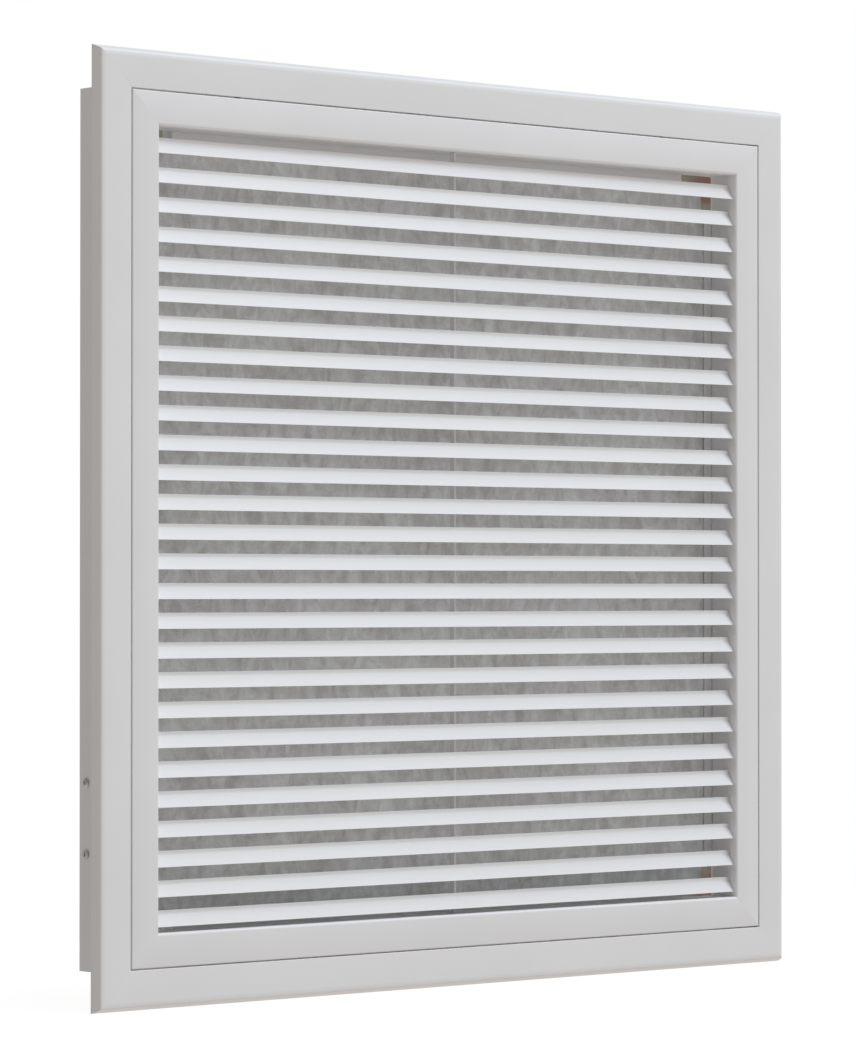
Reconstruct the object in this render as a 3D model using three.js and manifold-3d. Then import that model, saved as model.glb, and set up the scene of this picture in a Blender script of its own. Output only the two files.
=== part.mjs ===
// Louvred return-air grille with a drop-down core.
//
// A mitred outer frame has a flange that lies on the wall and a neck that slides into the duct
// opening. A core of fixed blades closes it. The core hangs on two pins near its lower corners,
// is held shut by two sprung catches along its top edge, and carries a fleece filter mat in four
// rails behind the blades.
//
// Millimetres. The origin is the centre of the wall plane, which is the back of the flange.
// +Z is up, -Y faces the room and +Y runs into the duct. "Depth" is measured backwards from the
// front plane, and "inset" is measured inwards from the outer edge of the frame a section is on.

import * as THREE from "three";
import { mergeVertices } from "three/addons/utils/BufferGeometryUtils.js";
import Module from "manifold-3d";

const wasm = await Module();
wasm.setup();

// ---- Driving dimensions ----

// Outer frame
const neckWidth = 596; // outside of the neck, for a 600 mm wide duct opening
const neckHeight = 596; // outside of the neck, for a 600 mm high duct opening
const neckLength = 45.6; // how far the neck reaches behind the wall plane
const neckWall = 1.5;
const flangeOverlap = 24; // how far the flange reaches past the neck all round
const flangeDepth = 8.2; // wall plane to front plane
const flangePlate = 1.6; // thickness of the front of the flange
const flangeReturn = 3.3; // how far the flange reaches inwards past the outside of the neck
const flangeRim = 1.2; // upright part of the outer edge, in front of the wall
const flangeBevelWidth = 2.8; // the outer edge then slopes inwards by this much
const flangeEdgeRound = 2.2; // between that slope and the front
const flangeCrownWidth = 6; // outer edge to the start of the flat front
const flangeCrownDepth = 0.4; // the front falls away by this much where the slope begins
const flangeInnerRound = 0.5;

// Core frame
const coreFace = 22.8; // width of the front of the core frame
const corePlate = 1.6; // thickness of the front of the core frame
const coreWall = 1.5; // thickness of the lip, the throat and the rear flange
const coreLipDepth = 12; // the lip runs back from the core's outer edge
const coreThroatDepth = 26.8; // the throat runs back from the core's opening
const coreRearFlange = 10.8; // width of the flange at the back of the throat
const coreOuterRound = 0.8;
const coreInnerRound = 2;

// Blades
const bladePitch = 20;
const bladeHeight = 10.9; // lower front edge to upper back edge, seen from the front
const bladeTilt = 31.6; // degrees that the flat part of a blade leans back from upright
const bladeFlatHeight = 7.8; // height of that flat part, below the bend
const bladeBendRadius = 3.6; // the bend brings the top of the blade upright
const bladeThickness = 1.4;
const bladeFrontDepth = 3; // the front edge of each blade lies this far behind the front plane
const bladeTopSpace = 7.3; // from the top of the opening down to the first blade
const bladeBottomSpace = 3; // least space from the last blade down to the bottom of the opening
const mullionWidth = 1.5;
const mullionDepth = 5;

// Filter
const matThickness = 12;
const railWall = 1.2;
const railLip = 18; // width of the lip in front of the mat
const railLipShowing = 7; // how far that lip reaches into the opening
const railDepth = 13.9; // front of the lip to the back edge of the rail
const railSetback = 31; // each rail stops this far short of the corner of the opening

// Hinge
const pivotInset = 12; // pin axis above the lower edge of the core
const pivotDepth = 6.2; // pin axis behind the front plane
const pinRadius = 2;
const pinHeadRadius = 3.5;
const pinHeadThickness = 1.5;
const bracketPlate = 1.5;
const eyeRadius = 4.3;
const bracketPadRadius = 7;
const screwSpacing = 48; // between the two screws of one bracket
const screwsHeight = 195; // middle of the two screws, below the middle of the neck
const screwBackMargin = 8; // screw axis in front of the back edge of the neck
const screwRadius = 2;
const screwHeadRadius = 3.2;
const screwHeadHeight = 1.4;
const screwLength = 7;
const screwRecess = { length: 3.6, width: 0.9, depth: 0.8 };

// Catches
const catchSpacing = 400; // between the two catches
const catchDepth = 7; // catch axis behind the front plane
const catchRadius = 3.5;
const catchWall = 0.9;
const catchLength = 16;
const catchCollarRadius = 5;
const catchCollarThickness = 1.2;
const catchBaseThickness = 2;
const catchRimThickness = 1;
const noseRadius = 1.8;
const plungerLength = 5.4; // the part that runs inside the body
const noseBite = 1; // how far the nose reaches into the neck's wall

// Clearances
const coreGap = 0.9; // all round, between the core and the flange
const touch = 0.3; // between pieces that touch or are joined
const mitreGap = 0.3; // across each mitre
const runningGap = 0.3; // radial, between a turning or sliding piece and its seat
const matGap = 0.5; // from the mat to the walls of its rails

const roundSteps = 5; // half the straight steps in each rounded edge of a frame
const bladeBendSteps = 3; // half the straight steps in the bend of a blade
const domeSteps = 4; // straight steps up each domed head or nose
const turnSteps = 24; // sides of each round piece

// ---- Sizes that follow ----

const flangeWidth = flangeOverlap + flangeReturn;
const outerWidth = neckWidth + 2 * flangeOverlap;
const outerHeight = neckHeight + 2 * flangeOverlap;
const coreInset = flangeWidth + coreGap;
const coreWidth = outerWidth - 2 * coreInset;
const coreHeight = outerHeight - 2 * coreInset;
const openingWidth = coreWidth - 2 * coreFace;
const openingHeight = coreHeight - 2 * coreFace;
const bladeSpace = openingHeight - bladeTopSpace - bladeHeight - bladeBottomSpace;
const bladeCount = Math.floor(bladeSpace / bladePitch) + 1;
const bladeLean = (bladeTilt * Math.PI) / 180;
const bladeFlatTop = bladeFrontDepth + bladeFlatHeight * Math.tan(bladeLean);
const bladeUprightDepth = bladeFlatTop + bladeBendRadius * (1 - Math.cos(bladeLean));
const mullionFrontDepth = bladeUprightDepth + bladeThickness + touch;
const railFrontDepth = coreThroatDepth + touch;
const railInset = coreFace + railLipShowing - railLip; // outside of a rail, from the core's edge
const matFrontDepth = railFrontDepth + railWall + touch;
const neckGap = flangeReturn + coreGap - neckWall; // between the core's lip and the neck
const bracketInset = -neckGap + touch; // outside of a bracket, from the core's edge
const pivotHeight = -coreHeight / 2 + pivotInset;
const screwDepth = flangeDepth + neckLength - screwBackMargin;
const catchBore = catchRadius - catchWall;
const plungerRadius = catchBore - runningGap;
const noseTip = neckGap + noseBite; // above the core's outer edge

// ---- Materials ----

const finish = (color, roughness, metalness) =>
  new THREE.MeshStandardMaterial({ color, roughness, metalness });

const whiteCoat = finish(0xe6e7e9, 0.45, 0);
const fleece = finish(0x9c9b96, 1, 0);
const zincSteel = finish(0xa9abad, 0.4, 1);

// ---- Solids ----

const frontPlane = -flangeDepth;
const axisX = new THREE.Vector3(1, 0, 0);
const axisY = new THREE.Vector3(0, 1, 0);
const axisZ = new THREE.Vector3(0, 0, 1);

const extrude = (shape, depth, curveSegments) =>
  new THREE.ExtrudeGeometry(shape, { depth, bevelEnabled: false, curveSegments });

// An outline drawn in Y and Z, made length long in X and centred on X = 0.
function alongX(shape, length, curveSteps = roundSteps) {
  const turn = new THREE.Matrix4().makeBasis(axisY, axisZ, axisX);
  return extrude(shape, length, curveSteps).translate(0, 0, -length / 2).applyMatrix4(turn);
}

// An outline drawn in X and Z, made thickness deep in Y, from Y = 0 backwards.
function alongY(shape, thickness) {
  const turn = new THREE.Matrix4().makeBasis(axisX, axisZ, axisY.clone().negate());
  return extrude(shape, thickness, roundSteps).translate(0, 0, -thickness).applyMatrix4(turn);
}

// A profile of [radius, height] points turned about Z.
function turned(profile) {
  const points = profile.map(([radius, height]) => new THREE.Vector2(radius, height));
  return new THREE.LatheGeometry(points, turnSteps).rotateX(Math.PI / 2);
}

// The profile of a dome on a base at the given height, from its rim to its top on the axis.
function dome(radius, rise, height) {
  const points = [];
  for (let i = 0; i < domeSteps; i++) {
    const angle = ((Math.PI / 2) * i) / domeSteps;
    points.push([radius * Math.cos(angle), height + rise * Math.sin(angle)]);
  }
  points.push([0, height + rise]);
  return points;
}

// A piece turned about Z is laid along X, with its top end towards side.
const laidAlongX = (geometry, side) => geometry.rotateY((side * Math.PI) / 2);

function solidOf(geometry) {
  const bare = geometry.clone();
  bare.deleteAttribute("normal");
  bare.deleteAttribute("uv");
  const merged = mergeVertices(bare);
  const vertProperties = merged.attributes.position.array;
  const triVerts = new Uint32Array(merged.index.array);
  return new wasm.Manifold(new wasm.Mesh({ numProp: 3, vertProperties, triVerts }));
}

function geometryOf(solid) {
  const { vertProperties, triVerts } = solid.getMesh();
  const geometry = new THREE.BufferGeometry();
  geometry.setAttribute("position", new THREE.BufferAttribute(vertProperties, 3));
  geometry.setIndex(new THREE.BufferAttribute(triVerts, 1));
  geometry.computeVertexNormals();
  return geometry;
}

const cut = (geometry, tools) =>
  geometryOf(tools.reduce((left, tool) => left.subtract(solidOf(tool)), solidOf(geometry)));

const join = (first, ...others) =>
  geometryOf(others.reduce((whole, other) => whole.add(solidOf(other)), solidOf(first)));

// A cylinder along local Z that cuts a round hole between two insets of a frame member.
function holeAcross(x, depth, radius, fromInset, toInset) {
  const drill = new THREE.CylinderGeometry(radius, radius, toInset - fromInset, turnSteps);
  return drill.rotateX(Math.PI / 2).translate(x, depth, -(fromInset + toInset) / 2);
}

// ---- Frame members ----

// A section drawn in inset and depth, run along X with both ends mitred. The member's outer edge
// lies on Z = 0 and its insets run downwards.
function mitredMember(section, length) {
  const geometry = extrude(section, 1, roundSteps);
  const corner = geometry.attributes.position;
  const setback = (mitreGap / 2) * Math.SQRT2;
  for (let i = 0; i < corner.count; i++) {
    const inset = corner.getX(i);
    const depth = corner.getY(i);
    const end = 2 * corner.getZ(i) - 1;
    corner.setXYZ(i, end * (length / 2 - inset - setback), depth, -inset);
  }
  geometry.computeVertexNormals();
  return geometry;
}

// The four sides of a rectangular frame: the turn and place that bring a member to its side.
const sidesOf = (width, height) => [
  { side: "top", length: width, place: [0, 0, height / 2], turn: 0 },
  { side: "bottom", length: width, place: [0, 0, -height / 2], turn: Math.PI },
  { side: "left", length: height, place: [-width / 2, 0, 0], turn: -Math.PI / 2 },
  { side: "right", length: height, place: [width / 2, 0, 0], turn: Math.PI / 2 },
];

function outerSection() {
  const neckBack = flangeDepth + neckLength;
  const bevelDrop = flangeDepth - flangeRim - flangeCrownDepth;
  const bevelAngle = Math.atan2(bevelDrop, flangeBevelWidth);
  const crownAngle = Math.atan2(flangeCrownDepth, flangeCrownWidth - flangeBevelWidth);
  const run = flangeEdgeRound * Math.tan((bevelAngle - crownAngle) / 2);
  const roundInset =
    flangeBevelWidth + run * Math.cos(crownAngle) + flangeEdgeRound * Math.sin(crownAngle);
  const roundDepth =
    flangeCrownDepth - run * Math.sin(crownAngle) + flangeEdgeRound * Math.cos(crownAngle);
  const across = flangePlate / Math.sin(bevelAngle);
  const insideTop = flangeBevelWidth * (1 - flangePlate / bevelDrop) + across;
  const insideDrop = bevelDrop * (1 + (across - flangePlate) / flangeBevelWidth);
  const s = new THREE.Shape();
  s.moveTo(0, flangeDepth);
  s.lineTo(0, flangeDepth - flangeRim);
  const edgeStart = 1.5 * Math.PI - bevelAngle;
  s.absarc(roundInset, roundDepth, flangeEdgeRound, edgeStart, 1.5 * Math.PI - crownAngle);
  s.lineTo(flangeCrownWidth, 0);
  s.lineTo(flangeWidth - flangeInnerRound, 0);
  s.absarc(flangeWidth - flangeInnerRound, flangeInnerRound, flangeInnerRound, -Math.PI / 2, 0);
  s.lineTo(flangeWidth, flangePlate);
  s.lineTo(flangeOverlap + neckWall, flangePlate);
  s.lineTo(flangeOverlap + neckWall, neckBack);
  s.lineTo(flangeOverlap, neckBack);
  s.lineTo(flangeOverlap, flangePlate);
  s.lineTo(flangeCrownWidth, flangePlate);
  s.lineTo(insideTop, flangeCrownDepth + flangePlate);
  s.lineTo(flangePlate, flangeCrownDepth + insideDrop);
  s.lineTo(flangePlate, flangeDepth);
  s.closePath();
  return s;
}

function coreSection() {
  const s = new THREE.Shape();
  s.moveTo(0, coreLipDepth);
  s.lineTo(0, coreOuterRound);
  s.absarc(coreOuterRound, coreOuterRound, coreOuterRound, Math.PI, 1.5 * Math.PI);
  s.lineTo(coreFace - coreInnerRound, 0);
  s.absarc(coreFace - coreInnerRound, coreInnerRound, coreInnerRound, -Math.PI / 2, 0);
  s.lineTo(coreFace, coreThroatDepth);
  s.lineTo(coreFace - coreRearFlange, coreThroatDepth);
  s.lineTo(coreFace - coreRearFlange, coreThroatDepth - coreWall);
  s.lineTo(coreFace - coreWall, coreThroatDepth - coreWall);
  s.lineTo(coreFace - coreWall, corePlate);
  s.lineTo(coreWall, corePlate);
  s.lineTo(coreWall, coreLipDepth);
  s.closePath();
  return s;
}

// Distances along a left (-1) or right (1) member, whose local X runs down on the right.
const screwPlaces = [screwsHeight - screwSpacing / 2, screwsHeight + screwSpacing / 2];
const catchPlaces = [-catchSpacing / 2, catchSpacing / 2];
const sideOf = { left: -1, right: 1 };

function outerHoles(side) {
  const through = [flangeOverlap - touch, flangeOverlap + neckWall + touch];
  if (side === "top") {
    const radius = noseRadius + runningGap;
    return catchPlaces.map((x) => holeAcross(x, catchDepth, radius, ...through));
  }
  if (side === "bottom") return [];
  const radius = screwRadius + runningGap;
  return screwPlaces.map((x) => holeAcross(sideOf[side] * x, screwDepth, radius, ...through));
}

function coreHoles(side) {
  const through = [-touch, coreWall + touch];
  if (side === "top") {
    const radius = catchRadius + touch;
    return catchPlaces.map((x) => holeAcross(x, catchDepth, radius, ...through));
  }
  if (side === "bottom") return [];
  const x = -sideOf[side] * pivotHeight;
  return [holeAcross(x, pivotDepth, pinRadius + runningGap, ...through)];
}

function frame(name, section, width, height, holes) {
  const group = new THREE.Group();
  group.position.y = frontPlane;
  for (const { side, length, place, turn } of sidesOf(width, height)) {
    const member = cut(mitredMember(section, length), holes(side));
    const mesh = new THREE.Mesh(member, whiteCoat);
    mesh.name = `${name}_${side}`;
    mesh.position.set(...place);
    mesh.rotation.y = turn;
    group.add(mesh);
  }
  return group;
}

// ---- Blades and mullion ----

// A blade that falls forwards from an upright top, through a bend, to a sharp lower edge.
function bladeSection() {
  const outerRadius = bladeBendRadius + bladeThickness;
  const bendX = bladeUprightDepth - bladeBendRadius;
  const bendY = bladeFlatHeight + bladeBendRadius * Math.sin(bladeLean);
  const s = new THREE.Shape();
  s.moveTo(bladeFrontDepth, 0);
  s.lineTo(bladeFlatTop, bladeFlatHeight);
  s.absarc(bendX, bendY, bladeBendRadius, -bladeLean, 0);
  s.lineTo(bladeUprightDepth, bladeHeight);
  s.lineTo(bladeUprightDepth + bladeThickness, bladeHeight);
  s.absarc(bendX, bendY, outerRadius, 0, -bladeLean, true);
  s.lineTo(bladeFrontDepth + bladeThickness / Math.cos(bladeLean), 0);
  s.closePath();
  return s;
}

function blades() {
  const group = new THREE.Group();
  const blade = alongX(bladeSection(), openingWidth - 2 * touch, bladeBendSteps);
  const firstHeight = openingHeight / 2 - bladeTopSpace - bladeHeight;
  for (let i = 0; i < bladeCount; i++) {
    const mesh = new THREE.Mesh(blade, whiteCoat);
    mesh.name = `louvre_${String(i + 1).padStart(2, "0")}`;
    mesh.position.set(0, frontPlane, firstHeight - i * bladePitch);
    group.add(mesh);
  }
  return group;
}

function mullion() {
  const length = openingHeight - 2 * touch;
  const bar = new THREE.BoxGeometry(mullionWidth, mullionDepth, length);
  const mesh = new THREE.Mesh(bar, whiteCoat);
  mesh.name = "core_mullion";
  mesh.position.y = frontPlane + mullionFrontDepth + mullionDepth / 2;
  return mesh;
}

// ---- Filter ----

// An angle whose lip lies in front of the mat and whose wall stands outside it.
function railSection() {
  const s = new THREE.Shape();
  s.moveTo(0, 0);
  s.lineTo(0, -railLip);
  s.lineTo(railWall, -railLip);
  s.lineTo(railWall, -railWall);
  s.lineTo(railDepth, -railWall);
  s.lineTo(railDepth, 0);
  s.closePath();
  return s;
}

function filterRails() {
  const group = new THREE.Group();
  group.position.y = frontPlane + railFrontDepth;
  const width = coreWidth - 2 * railInset;
  const height = coreHeight - 2 * railInset;
  const cornerSpace = coreFace + railSetback - railInset;
  for (const { side, length, place, turn } of sidesOf(width, height)) {
    const rail = alongX(railSection(), length - 2 * cornerSpace);
    const mesh = new THREE.Mesh(rail, whiteCoat);
    mesh.name = `filter_rail_${side}`;
    mesh.position.set(...place);
    mesh.rotation.y = turn;
    group.add(mesh);
  }
  return group;
}

// The mat fills the rails, and its corners are cut back to the showing edge of their lips.
function filterMat() {
  const wide = coreWidth / 2 - railInset - railWall - matGap;
  const high = coreHeight / 2 - railInset - railWall - matGap;
  const cutWide = openingWidth / 2 - railLipShowing;
  const cutHigh = openingHeight / 2 - railLipShowing;
  const railEndX = openingWidth / 2 - railSetback;
  const railEndZ = openingHeight / 2 - railSetback;
  const quarter = [
    [wide, railEndZ],
    [cutWide, railEndZ],
    [cutWide, cutHigh],
    [railEndX, cutHigh],
    [railEndX, high],
  ];
  const mirrored = quarter.map(([x, z]) => [-x, z]).reverse();
  const upper = [...quarter, ...mirrored];
  const lower = upper.map(([x, z]) => [-x, -z]);
  const outline = [...upper, ...lower].map(([x, z]) => new THREE.Vector2(x, z));
  const mesh = new THREE.Mesh(alongY(new THREE.Shape(outline), matThickness), fleece);
  mesh.name = "filter_mat";
  mesh.position.y = frontPlane + matFrontDepth;
  return mesh;
}

// ---- Hinge ----

// The outline of a belt round two circles.
function strap(first, firstRadius, second, secondRadius) {
  const run = second.clone().sub(first);
  const heading = run.angle();
  const tangent = Math.acos((firstRadius - secondRadius) / run.length());
  const s = new THREE.Shape();
  s.absarc(first.x, first.y, firstRadius, heading + tangent, heading - tangent + 2 * Math.PI);
  s.absarc(second.x, second.y, secondRadius, heading - tangent, heading + tangent);
  s.closePath();
  return s;
}

function bracketPlateAt(side) {
  const eye = new THREE.Vector2(pivotDepth, pivotHeight);
  const [upper, lower] = screwPlaces.map((z) => new THREE.Vector2(screwDepth, -z));
  const pad = alongX(strap(lower, bracketPadRadius, upper, bracketPadRadius), bracketPlate);
  const arm = alongX(strap(eye, eyeRadius, lower, bracketPadRadius), bracketPlate);
  const bore = (at, radius) => {
    const drill = new THREE.CylinderGeometry(radius, radius, 2 * bracketPlate, turnSteps);
    return drill.rotateZ(Math.PI / 2).translate(0, at.x, at.y);
  };
  const pinBore = bore(eye, pinRadius + runningGap);
  const screwBores = [upper, lower].map((at) => bore(at, screwRadius + runningGap));
  const mesh = new THREE.Mesh(cut(join(pad, arm), [pinBore, ...screwBores]), zincSteel);
  mesh.name = `hinge_bracket_${side}`;
  const outside = coreWidth / 2 - bracketInset;
  mesh.position.set(sideOf[side] * (outside - bracketPlate / 2), frontPlane, 0);
  return mesh;
}

// The pin's head stands inside the core's lip, and its end turns in the eye of the bracket.
function pinAt(side) {
  const headTop = -coreWall - touch;
  const headBottom = headTop - pinHeadThickness;
  const end = neckGap - touch;
  const profile = [
    [0, headBottom],
    [pinHeadRadius, headBottom],
    [pinHeadRadius, headTop],
    [pinRadius, headTop],
    [pinRadius, end],
    [0, end],
  ];
  const mesh = new THREE.Mesh(laidAlongX(turned(profile), sideOf[side]), zincSteel);
  mesh.name = `hinge_pin_${side}`;
  mesh.position.set((sideOf[side] * coreWidth) / 2, frontPlane + pivotDepth, pivotHeight);
  return mesh;
}

// A low domed screw with a cross recess. Its head rests on the outside of the neck.
function screwGeometry() {
  const profile = [
    [0, -screwLength],
    [screwRadius, -screwLength],
    [screwRadius, touch],
    ...dome(screwHeadRadius, screwHeadHeight, touch),
  ];
  const slot = (width, length) => {
    const box = new THREE.BoxGeometry(width, length, 2 * screwRecess.depth);
    return box.translate(0, 0, touch + screwHeadHeight);
  };
  const across = slot(screwRecess.width, screwRecess.length);
  const along = slot(screwRecess.length, screwRecess.width);
  return cut(turned(profile), [across, along]);
}

function screwsAt(side) {
  const group = new THREE.Group();
  group.position.set((sideOf[side] * neckWidth) / 2, frontPlane + screwDepth, 0);
  ["upper", "lower"].forEach((row, i) => {
    const mesh = new THREE.Mesh(laidAlongX(screwGeometry(), sideOf[side]), zincSteel);
    mesh.name = `hinge_screw_${side}_${row}`;
    mesh.position.z = -screwPlaces[i];
    group.add(mesh);
  });
  return group;
}

// ---- Catches ----

// A cup set in the core's top lip. Its collar bears under the lip and its rim keeps the plunger in.
function catchBody() {
  const rimTop = -touch;
  const rimBottom = rimTop - catchRimThickness;
  const collarTop = -coreWall - touch;
  const collarBottom = collarTop - catchCollarThickness;
  const bottom = -catchLength;
  const profile = [
    [0, bottom],
    [catchRadius, bottom],
    [catchRadius, collarBottom],
    [catchCollarRadius, collarBottom],
    [catchCollarRadius, collarTop],
    [catchRadius, collarTop],
    [catchRadius, rimTop],
    [noseRadius + runningGap, rimTop],
    [noseRadius + runningGap, rimBottom],
    [catchBore, rimBottom],
    [catchBore, bottom + catchBaseThickness],
    [0, bottom + catchBaseThickness],
  ];
  return turned(profile);
}

function catchPlunger() {
  const shoulder = -touch - catchRimThickness - touch;
  const profile = [
    [0, shoulder - plungerLength],
    [plungerRadius, shoulder - plungerLength],
    [plungerRadius, shoulder],
    [noseRadius, shoulder],
    ...dome(noseRadius, noseRadius, noseTip - noseRadius),
  ];
  return turned(profile);
}

function catchAt(side) {
  const group = new THREE.Group();
  const x = (sideOf[side] * catchSpacing) / 2;
  group.position.set(x, frontPlane + catchDepth, coreHeight / 2);
  const body = new THREE.Mesh(catchBody(), zincSteel);
  body.name = `catch_body_${side}`;
  const plunger = new THREE.Mesh(catchPlunger(), zincSteel);
  plunger.name = `catch_plunger_${side}`;
  group.add(body, plunger);
  return group;
}

// ---- Assembly ----

const grille = new THREE.Group();
grille.add(
  frame("outer_frame", outerSection(), outerWidth, outerHeight, outerHoles),
  frame("core_frame", coreSection(), coreWidth, coreHeight, coreHoles),
  blades(),
  mullion(),
  filterRails(),
  filterMat(),
);
for (const side of ["left", "right"]) {
  grille.add(bracketPlateAt(side), pinAt(side), screwsAt(side), catchAt(side));
}

export default grille;
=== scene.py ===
"""Looks of a louvred return-air grille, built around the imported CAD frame.

A mitred outer frame with a crowned flange holds a core of fixed blades. The core hangs on two
pins, shuts on two sprung catches, and carries a fleece filter mat in four rails. Everything is in
metres in the frame of the CAD: +Z is up, -Y faces the room and +Y runs into the duct. "Depth" is
measured backwards from the front plane, and "inset" inwards from a frame's outer edge.
"""

import math

import bmesh
import bpy
import numpy as np
from mathutils import Matrix, Vector, noise


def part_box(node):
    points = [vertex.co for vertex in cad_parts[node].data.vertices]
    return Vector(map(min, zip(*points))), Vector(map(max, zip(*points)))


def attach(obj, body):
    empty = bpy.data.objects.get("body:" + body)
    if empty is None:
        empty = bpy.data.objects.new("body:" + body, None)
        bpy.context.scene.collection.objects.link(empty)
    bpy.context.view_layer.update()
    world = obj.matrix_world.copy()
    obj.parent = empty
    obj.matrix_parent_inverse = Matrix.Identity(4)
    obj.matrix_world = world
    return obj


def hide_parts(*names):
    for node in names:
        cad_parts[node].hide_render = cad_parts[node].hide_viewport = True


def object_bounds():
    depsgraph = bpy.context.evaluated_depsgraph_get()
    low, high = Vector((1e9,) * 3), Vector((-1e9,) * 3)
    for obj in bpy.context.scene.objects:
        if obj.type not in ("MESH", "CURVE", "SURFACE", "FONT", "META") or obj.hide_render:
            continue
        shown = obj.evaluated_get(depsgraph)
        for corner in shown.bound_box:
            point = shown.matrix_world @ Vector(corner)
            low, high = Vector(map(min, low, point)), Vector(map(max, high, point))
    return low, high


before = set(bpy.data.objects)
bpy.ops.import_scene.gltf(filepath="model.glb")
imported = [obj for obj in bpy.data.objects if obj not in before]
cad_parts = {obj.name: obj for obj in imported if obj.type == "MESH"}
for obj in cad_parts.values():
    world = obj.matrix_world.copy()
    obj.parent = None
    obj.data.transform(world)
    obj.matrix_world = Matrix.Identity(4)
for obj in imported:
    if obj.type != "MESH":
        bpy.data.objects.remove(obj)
cad_low, cad_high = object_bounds()

MM = 0.001

# ---- Sizes read from the frame ----

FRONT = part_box("outer_frame_top")[0].y
NECK_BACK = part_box("outer_frame_top")[1].y - FRONT
OUTER = (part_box("outer_frame_right")[1].x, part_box("outer_frame_top")[1].z)
CORE = (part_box("core_frame_right")[1].x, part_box("core_frame_top")[1].z)
CORE_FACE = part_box("core_frame_top")[1].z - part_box("core_frame_top")[0].z
BLADE_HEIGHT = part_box("louvre_01")[1].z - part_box("louvre_01")[0].z

# ---- Sections of the frames, as in the CAD ----

FLANGE_WIDTH = 27.3 * MM
FLANGE_OVERLAP = 24 * MM
FLANGE_DEPTH = 8.2 * MM
FLANGE_RIM = 1.2 * MM
FLANGE_RIM_ROUND = 1.5 * MM
FLANGE_BEVEL = 2.8 * MM
FLANGE_EDGE_ROUND = 2.2 * MM
FLANGE_CROWN = 6 * MM
FLANGE_CROWN_DEPTH = 0.4 * MM
FLANGE_CROWN_ROUND = 8 * MM
PLATE = 1.6 * MM
WALL = 1.5 * MM
CORE_LIP = 12 * MM
CORE_THROAT = 26.8 * MM
CORE_REAR_FLANGE = 10.8 * MM
CORE_INNER_ROUND = 2 * MM
CORE_OUTER_ROUND = 0.8 * MM
FLANGE_INNER_ROUND = 0.5 * MM
PLATE_EDGE_ROUND = 0.4 * MM
FOLD_ROUND = 0.8 * MM
MITRE_GAP = 0.02 * MM

BLADE_LEAN = math.radians(31.6)
BLADE_FLAT_HEIGHT = 7.8 * MM
BLADE_BEND_RADIUS = 3.6 * MM
BLADE_THICKNESS = 1.4 * MM
BLADE_LIP_ROUND = 0.12 * MM
BLADE_EDGE_ROUND = 0.3 * MM
MULLION_EDGE_ROUND = 0.35 * MM
RAIL_WALL = 1.2 * MM

SIDES = ("top", "bottom", "left", "right")
SIDE_SIGN = {"left": -1, "right": 1}


# ---- Meshes ----

MERGE = 0.01 * MM
FINE_MERGE = 0.001 * MM
ON_AXIS = 1e-9
SMOOTH_ANGLE = math.radians(32)
FLAT_ANGLE = math.radians(1)
EASED_WIDTH = 0.25 * MM
EASED_SEGMENTS = 2
EASED_ANGLE = math.radians(35)
PROFILE_STEPS = 3
TURN_STEPS = 48
DRILL_STEPS = 40


def linked(name, mesh):
    piece = bpy.data.objects.new(name, mesh)
    bpy.context.scene.collection.objects.link(piece)
    return piece


def cleaned(mesh, merge=MERGE):
    """Merges doubles and turns the faces of a closed mesh outwards."""
    work = bmesh.new()
    work.from_mesh(mesh)
    bmesh.ops.remove_doubles(work, verts=work.verts, dist=merge)
    bmesh.ops.recalc_face_normals(work, faces=work.faces)
    work.to_mesh(mesh)
    work.free()
    return mesh


def smoothed(piece):
    """Shades a piece smooth, and keeps its sharp edges."""
    piece.data.shade_smooth()
    piece.data.set_sharp_from_angle(angle=SMOOTH_ANGLE)
    return piece


def lofted(name, rings):
    """A closed piece between rings of equal count, with a flat cap on each end."""
    count = len(rings[0])
    points = [point for ring in rings for point in ring]
    faces = []
    for start in range(0, count * (len(rings) - 1), count):
        for i in range(count):
            j = (i + 1) % count
            faces.append((start + i, start + j, start + count + j, start + count + i))
    faces.append(tuple(reversed(range(count))))
    faces.append(tuple(range(count * (len(rings) - 1), count * len(rings))))
    mesh = bpy.data.meshes.new(name)
    mesh.from_pydata(points, [], faces)
    return linked(name, cleaned(mesh))


def filleted(corners, steps=5):
    """A closed outline with each (x, y, radius) corner rounded."""
    outline = []
    for i, (x, y, radius) in enumerate(corners):
        if not radius:
            outline.append((x, y))
            continue
        corner = Vector((x, y))
        back = (Vector(corners[i - 1][:2]) - corner).normalized()
        onward = (Vector(corners[(i + 1) % len(corners)][:2]) - corner).normalized()
        half = back.angle(onward) / 2
        centre = corner + (back + onward).normalized() * radius / math.sin(half)
        first = corner + back * radius / math.tan(half) - centre
        last = corner + onward * radius / math.tan(half) - centre
        start = math.atan2(first.y, first.x)
        sweep = math.remainder(math.atan2(last.y, last.x) - start, 2 * math.pi)
        for k in range(steps + 1):
            angle = start + sweep * k / steps
            across, up = radius * math.cos(angle), radius * math.sin(angle)
            outline.append((centre.x + across, centre.y + up))
    return outline


def arc_points(centre, radius, start, stop, steps=8):
    """Corners for filleted, along an arc between two angles in degrees, none to be rounded."""
    angles = [math.radians(start + (stop - start) * k / steps) for k in range(steps + 1)]
    return [(centre[0] + radius * math.cos(a), centre[1] + radius * math.sin(a), 0) for a in angles]


def dome_points(radius, height, base, steps):
    """The profile of a dome on a base level, from its edge up to the axis."""
    angles = [math.pi / 2 * k / steps for k in range(steps + 1)]
    return [(radius * math.cos(a), base + height * math.sin(a)) for a in angles]


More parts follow.
